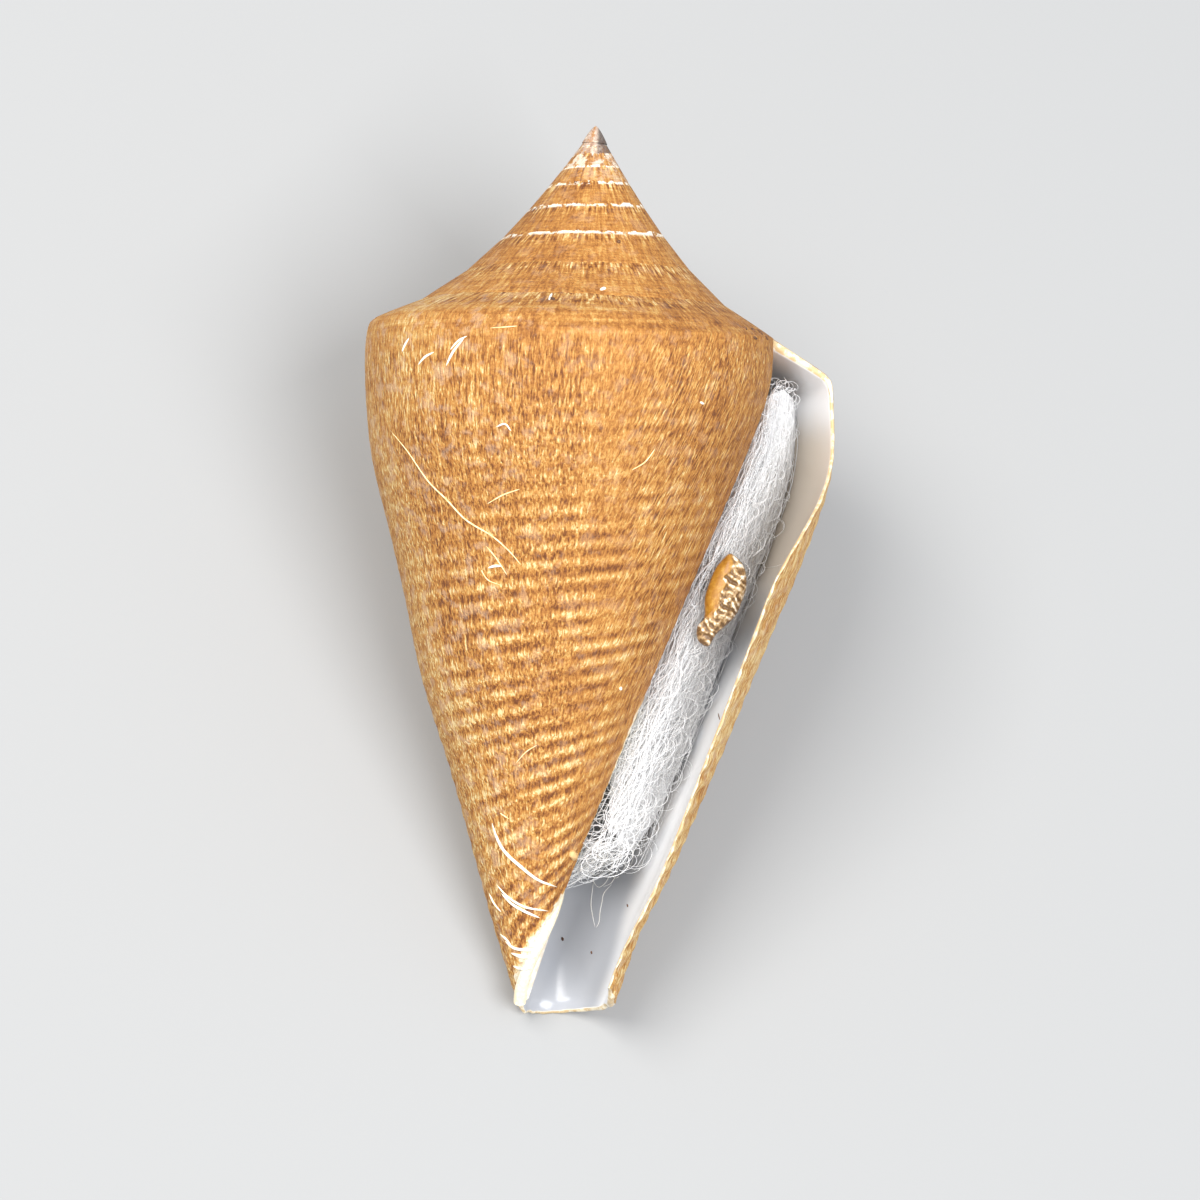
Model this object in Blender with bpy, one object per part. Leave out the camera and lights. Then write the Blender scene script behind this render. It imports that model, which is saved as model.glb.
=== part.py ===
"""A cone shell lying on its back, with a wad of cotton wool and the horny lid in its mouth.

The shell is one coiled wall. Every point of it is found from two numbers:
turns, how many turns of growth ago the point was laid down, counted back from the lip (0),
and depth, how far below the tip of the spire it would lie if the whorl were as large as the last one.
In the shell's own frame the tip is the origin, +Y runs up the axis, +X is the lip's side
and +Z looks out of the mouth.
Units are metres and radians.
"""

import math

import bmesh
import bpy
from mathutils import Matrix, Vector

# The coil
SHOULDER_RADIUS = 0.01885
GROWTH = 0.292
GROWTH_TREND = 0.0052
SPIRE_TURNS = 8
STEPS_PER_TURN = 36

# How much lower the shoulders of the spire lie than ones that only grew in scale, as a share of their radius
SPIRE_GAIN = 0.50
SPIRE_START = 0.7
SPIRE_SPREAD = 2.3
SPIRE_POWER = 1.4

# The whorl's outline, at the size of the last whorl: a ramp and a straight side with a round shoulder
SUTURE_DEPTH = 0.01495
RAMP_RADIUS = 0.01506
RAMP_SLOPE = 1.75
TIP_DEPTH = 0.0743
TIP_RADIUS = 0.0020
SIDE_SLOPE = 0.352
SHOULDER_ROUND = 0.0030
SHOULDER_DEPTH = 0.0198
SHOULDER_ROWS = (0.0209, 0.0221)
ROOF_ROUND = 0.0024

# The cut end of the canal, below the tip
CANAL_DEPTH = 0.0638
CANAL_BOW = 0.0012
CANAL_TURNS = 0.5

# Spiral ribs and the groove of the suture
FIRST_RIB_DEPTH = 0.0232
RIB_PITCH = 0.00155
RIB_HEIGHT = 0.00016
GROOVE_IN = 0.00010
GROOVE_DOWN = 0.00030
RAMP_SAG = 0.00025

# The wall and the hollow of the mouth
LIP_THICKNESS = 0.00045
WALL_THICKNESS = 0.0013
LIP_TAPER_TURNS = 0.05
CANAL_THIN = 0.35
ROOF_THICKNESS = 0.0012
INNER_WALL_THICKNESS = 0.0009
HOLLOW_STEPS = 45
ROOF_PARTS = (0.40, 0.72)
ROOF_STEEPNESS = 1.25
HOLLOW_DEPTHS = (0.0220, 0.0250, 0.0300, 0.0360, 0.0420, 0.0480, 0.0540, 0.0600, 0.0660)
COARSE_AFTER = 12
COARSE_DEPTHS = HOLLOW_DEPTHS[::2]
WALL_FOOT = 0.054

# The pillar between the mouth and the axis
CANAL_STEPS = 18
PILLAR_FOOT = 0.0690

# How far the lip's edge stands past the right side, towards the mouth
LIP_REACH = math.radians(20)
LIP_REACH_START = 0.0190
LIP_REACH_SPREAD = 0.0140
CANAL_REACH = math.radians(14)
CANAL_REACH_START = 0.0520
LIP_REACH_TURNS = 0.30

# The cotton wool in the mouth
COTTON_GAP = 0.00045
COTTON_TOP = 0.0200
COTTON_BOTTOM = 0.0535
COTTON_LEVELS = 14
COTTON_END_SHARE = 0.55
COTTON_WALL_ANGLES = (4, -16, -38, -62)
COTTON_LIP_ANGLES = (-62, -50, -38, -26)
COTTON_BULGE = 0.0016

# The lid on the cotton
LID_CENTRE_DEPTH = 0.0341
LID_LENGTH = 0.0072
LID_WIDTH = 0.0028
LID_THICKNESS = 0.0009
LID_LEAN = math.radians(15)
LID_POINTS = 20
LID_SIDE_SHIFT = 0.0020
LID_GAP = 0.0003

# How the shell lies: turned about its axis, then raised at the spire
REST_ROLL = math.radians(-10)
REST_PITCH = math.radians(18.5)
REST_FLAT = 0.00045


def whorl_radius(turns):
    """The shoulder's radius, so many turns before the lip."""
    return SHOULDER_RADIUS * math.exp(-(GROWTH + GROWTH_TREND * turns) * turns)


def whorl_scale(turns):
    return whorl_radius(turns) / SHOULDER_RADIUS


def spire_lift(turns):
    late = max(turns - SPIRE_START, 0) / SPIRE_SPREAD
    return SPIRE_GAIN * (1 - math.exp(-(late ** SPIRE_POWER))) * whorl_radius(turns)


def blend_lower(a, b, roundness):
    """The lower of two values, with a round corner where they cross."""
    return (a + b) / 2 - math.hypot((a - b) / 2, roundness)


def smooth_step(value):
    value = min(max(value, 0), 1)
    return value * value * (3 - 2 * value)


def outline_radius(depth):
    """The outer outline of the last whorl."""
    ramp = RAMP_RADIUS + RAMP_SLOPE * (depth - SUTURE_DEPTH)
    side = TIP_RADIUS + SIDE_SLOPE * (TIP_DEPTH - depth)
    return blend_lower(ramp, side, SHOULDER_ROUND)


def inner_radius(depth, thickness):
    """The outline of the hollow, a wall's thickness inside the outer one."""
    ramp = RAMP_RADIUS + RAMP_SLOPE * (depth - SUTURE_DEPTH) - thickness * math.hypot(1, RAMP_SLOPE)
    side = TIP_RADIUS + SIDE_SLOPE * (TIP_DEPTH - depth) - thickness * math.hypot(1, SIDE_SLOPE)
    return blend_lower(ramp, side, ROOF_ROUND)


def place(turns, radius, depth):
    """A point at a true radius and depth, in the shell's own frame."""
    angle = -2 * math.pi * turns
    return Vector((radius * math.cos(angle), -depth, radius * math.sin(angle)))


def lip_advance(turns, depth):
    """The same point's turns, once the lip's edge has grown on towards the mouth."""
    reach = LIP_REACH * smooth_step((depth - LIP_REACH_START) / LIP_REACH_SPREAD)
    reach += CANAL_REACH * smooth_step((depth - CANAL_REACH_START) / LIP_REACH_SPREAD)
    return turns - reach / (2 * math.pi) * smooth_step(1 - turns / LIP_REACH_TURNS)


def outer_point(turns, depth, relief=0.0):
    """A point of the outer surface, raised by the relief."""
    grown = lip_advance(turns, depth)
    scale = whorl_scale(grown)
    radius = scale * (outline_radius(depth) + relief)
    return place(grown, radius, scale * depth + spire_lift(grown))


def shoulder_point(turns):
    return place(turns, whorl_radius(turns), whorl_scale(turns) * SHOULDER_DEPTH + spire_lift(turns))


def wall_thickness(turns, depth):
    """Thin at the lip's edge, along the canal and where a later turn covers the wall."""
    full = WALL_THICKNESS if turns < 1 else INNER_WALL_THICKNESS
    inside = 1 - math.exp(-max(turns, 0) / LIP_TAPER_TURNS)
    canal = 1 - CANAL_THIN * smooth_step((depth - CANAL_REACH_START) / LIP_REACH_SPREAD)
    return LIP_THICKNESS + (full - LIP_THICKNESS) * inside * canal


def canal_depth(turns):
    """Where the canal's cut end is, in the scale of the last whorl."""
    bow = CANAL_BOW * math.sin(math.pi * min(turns / CANAL_TURNS, 1))
    return (CANAL_DEPTH + bow) / whorl_scale(turns)


def last_depth(turns):
    """How deep the outer surface reaches: to the canal's end, and then to the pillar's edge."""
    return min(canal_depth(turns), TIP_DEPTH) if turns < CANAL_TURNS else TIP_DEPTH


def hollow_depth(turns):
    """How deep the hollow reaches: to the canal's end, and further back to the pillar's foot."""
    return canal_depth(turns) if turns <= CANAL_TURNS else PILLAR_FOOT


def inner_point(turns, depth):
    grown = lip_advance(turns, depth)
    scale = whorl_scale(grown)
    radius = scale * inner_radius(depth, wall_thickness(turns, depth))
    return place(grown, radius, scale * depth + spire_lift(grown))


def roof_point(turns, part):
    """A point of the hollow's roof, under the ramp."""
    above = shoulder_point(turns + 1).lerp(shoulder_point(turns), part)
    drop = ROOF_STEEPNESS * wall_thickness(turns, SHOULDER_DEPTH) * whorl_scale(turns)
    return above - Vector((0, drop, 0))


def ramp_column(turns):
    """The ramp from the suture to the shoulder: groove, sagging middle, shoulder."""
    inner = shoulder_point(turns + 1)
    outer = shoulder_point(turns)
    scale = whorl_scale(turns)
    rise = Vector((0, 1, 0))
    outward = Vector((outer.x, 0, outer.z)).normalized()
    groove = inner - outward * GROOVE_IN * scale - rise * GROOVE_DOWN * scale
    middle = inner.lerp(outer, 0.5) - rise * RAMP_SAG * scale
    return groove, middle, outer


def rib_depths():
    """Depths of the valleys and crests of the ribs, with the relief of each."""
    depths = []
    count = int((TIP_DEPTH - FIRST_RIB_DEPTH) / RIB_PITCH)
    for number in range(2 * count):
        relief = RIB_HEIGHT / 2 if number % 2 else -RIB_HEIGHT / 2
        depths.append((FIRST_RIB_DEPTH + number * RIB_PITCH / 2, relief))
    return depths


def stitch(bm, left, right):
    """Joins two runs of (value, vertex) with faces, in the order of the values."""
    i = 0
    j = 0
    while i < len(left) - 1 or j < len(right) - 1:
        next_left = left[i + 1][0] if i < len(left) - 1 else math.inf
        next_right = right[j + 1][0] if j < len(right) - 1 else math.inf
        level = math.isclose(next_left, next_right, abs_tol=1e-9)
        corners = [left[i][1]]
        if level or next_left < next_right:
            i += 1
            corners.append(left[i][1])
        corners_right = [right[j][1]]
        if level or next_right < next_left:
            j += 1
            corners_right.append(right[j][1])
        face = list(dict.fromkeys(corners + corners_right[::-1]))
        if len(face) > 2:
            bm.faces.new(face)


class Coil:
    """The shell's vertices, laid out by step of growth."""

    def __init__(self, bm):
        self.bm = bm
        self.shoulders = {}
        self.outer = {}
        self.inner = {}
        self.wall = {}

    def turns(self, step):
        return step / STEPS_PER_TURN

    def shoulder(self, step):
        if step not in self.shoulders:
            self.shoulders[step] = self.bm.verts.new(shoulder_point(self.turns(step)))
        return self.shoulders[step]

    def build_spire(self):
        """The ramps of all turns, one ribbon whose inner edge is the turn before's outer edge."""
        last = SPIRE_TURNS * STEPS_PER_TURN
        columns = {}
        for step in range(last + 1):
            groove, middle, _ = ramp_column(self.turns(step))
            inner = self.shoulder(step + STEPS_PER_TURN)
            run = [(0, inner), (1, self.bm.verts.new(groove)), (2, self.bm.verts.new(middle))]
            run.append((3, self.shoulder(step)))
            columns[step] = run
        for step in range(last):
            stitch(self.bm, columns[step], columns[step + 1])
        self.lip_ramp = columns[0]
        tip = self.bm.verts.new((0, 0, 0))
        first_ring = [columns[last][k][1] for k in range(4)]
        ring = [self.shoulder(step) for step in range(last, last + STEPS_PER_TURN + 1)]
        for a, b in zip(ring, ring[1:]):
            self.bm.faces.new((a, b, tip))
        for a, b in zip(first_ring, first_ring[1:]):
            self.bm.faces.new((a, b, tip))

    def build_outer(self):
        """The side of the last turn, from its shoulder to the canal's end."""
        ribs = rib_depths()
        for step in range(STEPS_PER_TURN + 1):
            turns = self.turns(step)
            end = last_depth(turns)
            run = [(SHOULDER_DEPTH, self.shoulder(step))]
            for depth in SHOULDER_ROWS:
                run.append((depth, self.bm.verts.new(outer_point(turns, depth))))
            for depth, relief in ribs:
                if depth < end - RIB_PITCH / 4:
                    run.append((depth, self.bm.verts.new(outer_point(turns, depth, relief))))
            run.append((TIP_DEPTH, self.bm.verts.new(outer_point(turns, end))))
            self.outer[step] = run
        for step in range(STEPS_PER_TURN):
            stitch(self.bm, self.outer[step], self.outer[step + 1])

    def build_wall(self):
        """The turn before, where the mouth's hollow runs along it."""
        first = self.outer[STEPS_PER_TURN]
        roof = first[0][0] + ROOF_THICKNESS / whorl_scale(1)
        self.wall[0] = [item for item in first if item[0] > roof]
        self.roof_run = [item for item in first if item[0] <= roof] + self.wall[0][:1]
        for step in range(1, HOLLOW_STEPS + 1):
            turns = 1 + self.turns(step)
            top = self.wall[0][0][0]
            rows = HOLLOW_DEPTHS if step <= COARSE_AFTER else COARSE_DEPTHS
            depths = [top] + [d / whorl_scale(1) for d in rows if top * whorl_scale(1) < d < WALL_FOOT]
            run = [(d, self.bm.verts.new(outer_point(turns, d))) for d in depths]
            run.append((TIP_DEPTH, self.bm.verts.new(outer_point(turns, TIP_DEPTH))))
            self.wall[step] = run
        for step in range(HOLLOW_STEPS):
            stitch(self.bm, self.wall[step], self.wall[step + 1])

    def build_inner(self):
        """The inside of the last turn, from the hollow's roof to the canal's end."""
        for step in range(HOLLOW_STEPS + 1):
            turns = self.turns(step)
            end = hollow_depth(turns)
            run = [(SUTURE_DEPTH, self.wall[step][0][1])]
            for part in ROOF_PARTS:
                depth = SUTURE_DEPTH + part * (SHOULDER_DEPTH - SUTURE_DEPTH)
                run.append((depth, self.bm.verts.new(roof_point(turns, part))))
            for depth in HOLLOW_DEPTHS if step <= COARSE_AFTER else COARSE_DEPTHS:
                if depth < end - RIB_PITCH:
                    run.append((depth, self.bm.verts.new(inner_point(turns, depth))))
            run.append((TIP_DEPTH, self.bm.verts.new(inner_point(turns, end))))
            self.inner[step] = run
        for step in range(HOLLOW_STEPS):
            stitch(self.bm, self.inner[step], self.inner[step + 1])

    def close_edges(self):
        """The lip's edge, the canal's cut end, the hollow's back and the pillar's end."""
        lip_outer = [(SUTURE_DEPTH + 0.0015 * k, v) for k, v in self.lip_ramp[:3]] + self.outer[0]
        start = [(SUTURE_DEPTH + 0.0001 * k, item[1]) for k, item in enumerate(self.roof_run)]
        lip_inner = start + self.inner[0][1:]
        stitch(self.bm, lip_outer, lip_inner)
        canal = range(CANAL_STEPS + 1)
        rim_outer = [(step, self.outer[step][-1][1]) for step in canal]
        rim_inner = [(step, self.inner[step][-1][1]) for step in canal]
        stitch(self.bm, rim_outer, rim_inner)
        deep = range(CANAL_STEPS, HOLLOW_STEPS + 1)
        pillar_top = [(step, self.wall[step][-1][1]) for step in deep]
        pillar_foot = [(step, self.inner[step][-1][1]) for step in deep]
        stitch(self.bm, pillar_top, pillar_foot)
        back_wall = [(SUTURE_DEPTH, self.wall[HOLLOW_STEPS][0][1])]
        back_wall += [(depth * whorl_scale(1), v) for depth, v in self.wall[HOLLOW_STEPS][1:]]
        stitch(self.bm, back_wall, self.inner[HOLLOW_STEPS])
        loop = [self.outer[step][-1][1] for step in range(CANAL_STEPS, STEPS_PER_TURN + 1)]
        loop += [self.wall[step][-1][1] for step in range(1, CANAL_STEPS + 1)]
        end = self.inner[CANAL_STEPS][-1][1]
        for a, b in zip(loop, loop[1:]):
            self.bm.faces.new((a, b, end))


def make_material(name, color, roughness):
    material = bpy.data.materials.new(name)
    material.use_nodes = True
    shader = material.node_tree.nodes["Principled BSDF"]
    shader.inputs["Base Color"].default_value = (*color, 1)
    shader.inputs["Roughness"].default_value = roughness
    shader.inputs["Metallic"].default_value = 0
    material.diffuse_color = (*color, 1)
    return material


def make_object(name, bm, material):
    bmesh.ops.recalc_face_normals(bm, faces=bm.faces)
    mesh = bpy.data.meshes.new(name)
    bm.to_mesh(mesh)
    bm.free()
    mesh.materials.append(material)
    obj = bpy.data.objects.new(name, mesh)
    bpy.context.scene.collection.objects.link(obj)
    return obj


def make_shell():
    bm = bmesh.new()
    coil = Coil(bm)
    coil.build_spire()
    coil.build_outer()
    coil.build_wall()
    coil.build_inner()
    coil.close_edges()
    return make_object("shell", bm, make_material("periostracum", (0.62, 0.36, 0.13), 0.75))


def wall_radius_at(turns, height):
    """The radius of the turn before, at a true depth below the tip."""
    scale = whorl_scale(turns + 1)
    return scale * outline_radius((height - spire_lift(turns + 1)) / scale)


def hollow_radius_at(turns, height):
    """The inner radius of the last turn, at a true depth below the tip."""
    scale = whorl_scale(turns)
    return scale * inner_radius(height / scale, WALL_THICKNESS)


def cotton_section(height, share):
    """The plug's outline across the axis: along the turn before, back along the lip's inside, over the front."""
    points = []
    for degrees in COTTON_WALL_ANGLES:
        turns = -degrees / 360
        points.append(place(turns, wall_radius_at(turns, height) + COTTON_GAP, height))
    for degrees in COTTON_LIP_ANGLES:
        turns = -degrees / 360
        points.append(place(turns, hollow_radius_at(turns, height) - COTTON_GAP, height))
    front = points[-1]
    back = points[0]
    for part in (0.33, 0.66, 0.88):
        point = front.lerp(back, part)
        point.z += COTTON_BULGE * math.sin(math.pi * part ** 1.5)
        points.append(point)
    middle = sum(points, Vector()) / len(points)
    return [middle.lerp(point, share) for point in points]


def make_cotton():
    bm = bmesh.new()
    rings = []
    for level in range(COTTON_LEVELS):
        part = level / (COTTON_LEVELS - 1)
        height = COTTON_TOP + (COTTON_BOTTOM - COTTON_TOP) * part
        edge = min(part, 1 - part) * (COTTON_LEVELS - 1)
        share = 1 if edge >= 1 else COTTON_END_SHARE
        rings.append([bm.verts.new(point) for point in cotton_section(height, share)])
    for ring, below in zip(rings, rings[1:]):
        for k in range(len(ring)):
            following = (k + 1) % len(ring)
            bm.faces.new((ring[k], ring[following], below[following], below[k]))
    bm.faces.new(rings[0])
    bm.faces.new(rings[-1][::-1])
    bmesh.ops.triangulate(bm, faces=bm.faces)
    return make_object("cotton_plug", bm, make_material("cotton", (0.86, 0.85, 0.82), 0.95))


def make_lid():
    """The horny lid: a slim leaf with a rounded rim, lying on the cotton's front."""
    section = cotton_section(LID_CENTRE_DEPTH, 1)
    base = section[0].lerp(section[-2], 0.5)
    bm = bmesh.new()
    rings = []
    for level, share in ((0, 0.72), (0.3, 1.0), (0.7, 1.0), (1.0, 0.66)):
        ring = []
        for k in range(LID_POINTS):
            angle = 2 * math.pi * k / LID_POINTS
            across = LID_WIDTH / 2 * math.sin(angle) * share
            along = LID_LENGTH / 2 * math.cos(angle) * share
            ring.append(bm.verts.new((across, along, level * LID_THICKNESS)))
        rings.append(ring)
    for ring, above in zip(rings, rings[1:]):
        for k in range(LID_POINTS):
            following = (k + 1) % LID_POINTS
            bm.faces.new((ring[k], ring[following], above[following], above[k]))
    bm.faces.new(rings[0][::-1])
    bm.faces.new(rings[-1])
    obj = make_object("operculum", bm, make_material("horn", (0.45, 0.26, 0.08), 0.35))
    place_at = Vector((base.x + LID_SIDE_SHIFT, base.y, base.z + COTTON_BULGE + LID_GAP))
    turn = Matrix.Rotation(-LID_LEAN, 4, "Z")
    obj.data.transform(Matrix.Translation(place_at) @ turn)
    return obj


def lay_down(pieces):
    """Turns the pieces to how the shell lies and stands the whole on its lowest points."""
    turn = Matrix.Rotation(REST_PITCH, 4, "X") @ Matrix.Rotation(REST_ROLL, 4, "Y")
    for piece in pieces:
        piece.data.transform(turn)
    shell = pieces[0].data
    floor = min(v.co.z for v in shell.vertices) + REST_FLAT
    for vertex in shell.vertices:
        vertex.co.z = max(vertex.co.z, floor)
    spots = [v.co for piece in pieces for v in piece.data.vertices]
    middle_x = (min(p.x for p in spots) + max(p.x for p in spots)) / 2
    middle_y = (min(p.y for p in spots) + max(p.y for p in spots)) / 2
    shift = Matrix.Translation((-middle_x, -middle_y, -floor))
    for piece in pieces:
        piece.data.transform(shift)


def main():
    for old in list(bpy.data.objects):
        bpy.data.objects.remove(old)
    pieces = [make_shell(), make_cotton(), make_lid()]
    lay_down(pieces)


main()
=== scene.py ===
"""The looks of a cone shell: brown skin, cream inside, the cotton wool in its mouth and the horny lid.

The shell's surface is found from two numbers, as its solid is: turns, the growth counted back from the lip,
and depth, how far below the tip a point would lie if its whorl were as large as the last one.
In the shell's own frame the tip is the origin, +Y runs up the axis, +X is the lip's side and +Z looks out
of the mouth. Units are metres and radians.
"""

import math

import bmesh
import bpy
import numpy as np
from mathutils import Matrix, Vector
from mathutils.bvhtree import BVHTree


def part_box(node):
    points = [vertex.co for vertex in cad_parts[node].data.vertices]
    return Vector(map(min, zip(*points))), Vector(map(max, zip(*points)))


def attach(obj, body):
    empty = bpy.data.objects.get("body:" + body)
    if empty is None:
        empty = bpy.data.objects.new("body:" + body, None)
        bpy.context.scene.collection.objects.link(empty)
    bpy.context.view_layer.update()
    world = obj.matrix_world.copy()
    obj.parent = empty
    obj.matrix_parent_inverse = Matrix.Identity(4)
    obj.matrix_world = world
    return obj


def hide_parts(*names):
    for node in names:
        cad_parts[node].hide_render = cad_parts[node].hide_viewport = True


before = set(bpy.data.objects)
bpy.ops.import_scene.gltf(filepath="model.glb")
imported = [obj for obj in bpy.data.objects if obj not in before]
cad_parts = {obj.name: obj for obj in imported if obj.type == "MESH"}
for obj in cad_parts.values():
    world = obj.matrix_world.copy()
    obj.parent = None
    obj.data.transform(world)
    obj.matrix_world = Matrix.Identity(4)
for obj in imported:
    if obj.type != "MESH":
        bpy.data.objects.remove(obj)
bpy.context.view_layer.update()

# How the shell lies: turned about its axis, then raised at the spire
REST_ROLL = math.radians(-10)
REST_PITCH = math.radians(18.5)

# The coil
SHOULDER_RADIUS = 0.01885
SHOULDER_DEPTH = 0.0198
SUTURE_DEPTH = 0.01495
RAMP_HEIGHT = SHOULDER_DEPTH - SUTURE_DEPTH
GROWTH = 0.292
GROWTH_TREND = 0.0052
SPIRE_GAIN = 0.50
SPIRE_START = 1.0
SPIRE_SPREAD = 2.275
SPIRE_POWER = 1.07
SPIRE_TURNS = 9.0

# The whorl's outline: ramp, steep band below the shoulder, straight side
RAMP_RADIUS = 0.0140
RAMP_DEPTH = 0.0152
RAMP_SLOPE = 2.06
BAND_RADIUS = 0.0189
BAND_DEPTH = 0.0183
BAND_SLOPE = 0.13
TIP_DEPTH = 0.0743
TIP_RADIUS = 0.0020
SIDE_SLOPE = 0.352
BAND_ROUND = 0.0008
SHOULDER_ROUND = 0.00035

# Where the left side draws in and swells, and where the lip's lower end draws in
WAIST_TOP = 0.00034
WAIST_TOP_DEPTH = 0.034
WAIST_TOP_END = 0.046
WAIST = 0.00052
WAIST_DEPTH = 0.0243
WAIST_SPREAD = 0.0042
BELLY = 0.00036
BELLY_DEPTH = 0.0485
BELLY_SPREAD = 0.0050
BASE_TRIM = 0.00050
BASE_TRIM_DEPTH = 0.0743
BASE_TRIM_SPREAD = 0.0042
LIP_TRIM = 0.00042
LIP_TRIM_DEPTH = 0.0585
LIP_TRIM_SPREAD = 0.0036

# The canal's cut end
CANAL_DEPTH = 0.0634
CANAL_BOW = 0.00190
CANAL_TURNS = 0.5
CANAL_ROUGH = 0.00035
CANAL_CORNER = 0.0006
CANAL_CORNER_TURNS = 0.05

# How far the lip's edge stands past the right side, towards the mouth
LIP_REACH = math.radians(29)
LIP_REACH_START = 0.0190
LIP_REACH_SPREAD = 0.0140
CANAL_REACH = math.radians(14)
CANAL_REACH_START = 0.0520
LIP_REACH_TURNS = 0.30

# The wall
LIP_THICKNESS = 0.00030
WALL_THICKNESS = 0.0013
LIP_TAPER_TURNS = 0.03
CANAL_THIN = 0.35

# Where the ramp becomes a straight slope, counted in turns
STRAIGHT_START = 0.45
STRAIGHT_SPREAD = 0.6

# How much of the wall's thickness counts down the axis, and inwards
WALL_DOWN = 0.6
WALL_IN = 0.95

# Relief of the skin, and how many millimetres of it one turn has
SKIN_AROUND = 118.0
FIRST_RIB_DEPTH = 0.0232
RIB_PITCH = 0.00155
RIB_RELIEF_TOP = 0.000012
RIB_RELIEF_BASE = 0.000045
LIP_RELIEF = 0.00005
LIP_RELIEF_TURNS = 0.075
GROWTH_RELIEF = 0.00006
GRAIN_RELIEF = 0.00003

# The grid
TURN_COLUMNS = 400
WALL_COLUMNS = 46
HOLLOW_COLUMNS = 60
RAMP_ROWS = 13
RAMP_START = -0.06
SIDE_ROWS = 120
SPIRE_SIDE_ROWS = 3
SPIRE_SIDE_DEPTH = 0.0012
INNER_ROWS = 60
HOLLOW_TURNS = 1.25
WALL_TURNS = 1.30
BEAD_RADIUS = 0.00047
TIP_CAP_WIDTH = 1.04
TIP_CAP_HEIGHT = 0.96
TIP_CAP_POINT = 0.72
BEAD_POINTS = 12
BEAD_COLUMNS = 120
EDGE_PARTS = (0.12, 0.3, 0.5, 0.7, 0.88)

# The camera, in the shell's own frame: it looks along -Z
CAMERA_SIDE = 0.00261
CAMERA_DEPTH = 0.03468
CAMERA_DISTANCE = 0.300
CAMERA_WIDTH = 0.0880
CAMERA_ROLL = math.radians(3.8)


def whorl_scale(turns):
    return np.exp(-(GROWTH + GROWTH_TREND * turns) * turns)


def spire_lift(turns):
    late = np.maximum(turns - SPIRE_START, 0) / SPIRE_SPREAD
    return SPIRE_GAIN * (1 - np.exp(-(late ** SPIRE_POWER))) * SHOULDER_RADIUS * whorl_scale(turns)


def shoulder_depth(turns):
    """The true depth of the shoulder below the tip."""
    return whorl_scale(turns) * SHOULDER_DEPTH + spire_lift(turns)


def blend_lower(a, b, roundness):
    """The lower of two values, with a round corner where they cross."""
    return (a + b) / 2 - np.hypot((a - b) / 2, roundness)


def smooth_step(value):
    value = np.clip(value, 0, 1)
    return value * value * (3 - 2 * value)


def outline_radius(depth):
    """The outer outline of the last whorl."""
    ramp = RAMP_RADIUS + RAMP_SLOPE * (depth - RAMP_DEPTH)
    band = BAND_RADIUS + BAND_SLOPE * (depth - BAND_DEPTH)
    side = TIP_RADIUS + SIDE_SLOPE * (TIP_DEPTH - depth)
    return blend_lower(blend_lower(side, band, BAND_ROUND), ramp, SHOULDER_ROUND)


def hump(value, middle, spread):
    return np.exp(-(((value - middle) / spread) ** 2))


def side_trim(turns, depth):
    """How far the last turn's side stands off the even outline: on its left half, and by the lip."""
    top = WAIST_TOP * (1 - smooth_step((depth - WAIST_TOP_DEPTH) / (WAIST_TOP_END - WAIST_TOP_DEPTH)))
    waist = WAIST * hump(depth, WAIST_DEPTH, WAIST_SPREAD)
    belly = BELLY * hump(depth, BELLY_DEPTH, BELLY_SPREAD)
    base = BASE_TRIM * hump(depth, BASE_TRIM_DEPTH, BASE_TRIM_SPREAD)
    left = belly - top - waist - base
    right = -LIP_TRIM * hump(depth, LIP_TRIM_DEPTH, LIP_TRIM_SPREAD)
    half = np.sin(math.pi * np.clip(turns, 0, 1)) ** 2
    return left * half + right * (1 - half) * (turns < 0.5)


def place(turns, radius, depth):
    """Points at true radii and depths, in the shell's own frame."""
    turns, radius, depth = np.broadcast_arrays(turns, radius, depth)
    angle = -2 * math.pi * turns
    return np.stack([radius * np.cos(angle), -depth, radius * np.sin(angle)], -1)


def lip_advance(turns, depth):
    """The same points' turns, once the lip's edge has grown on towards the mouth."""
    reach = LIP_REACH * smooth_step((depth - LIP_REACH_START) / LIP_REACH_SPREAD)
    reach = reach + CANAL_REACH * smooth_step((depth - CANAL_REACH_START) / LIP_REACH_SPREAD)
    return turns - reach / (2 * math.pi) * smooth_step(1 - turns / LIP_REACH_TURNS)


def wall_thickness(turns, depth):
    """Thin at the lip's edge and along the canal."""
    inside = 1 - np.exp(-np.maximum(turns, 0) / LIP_TAPER_TURNS)
    canal = 1 - CANAL_THIN * smooth_step((depth - CANAL_REACH_START) / LIP_REACH_SPREAD)
    return LIP_THICKNESS + (WALL_THICKNESS - LIP_THICKNESS) * inside * canal


def side_point(turns, depth, raised):
    """Points of a whorl's side, raised from the outline."""
    grown = lip_advance(turns, depth)
    scale = whorl_scale(grown)
    radius = outline_radius(depth) + side_trim(turns, depth) + raised
    return place(grown, scale * radius, scale * depth + spire_lift(grown))


def straightness(turns):
    """How far the ramp has become a straight slope: not at all at the lip, wholly on the spire."""
    return smooth_step((turns - STRAIGHT_START) / STRAIGHT_SPREAD)


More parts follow.
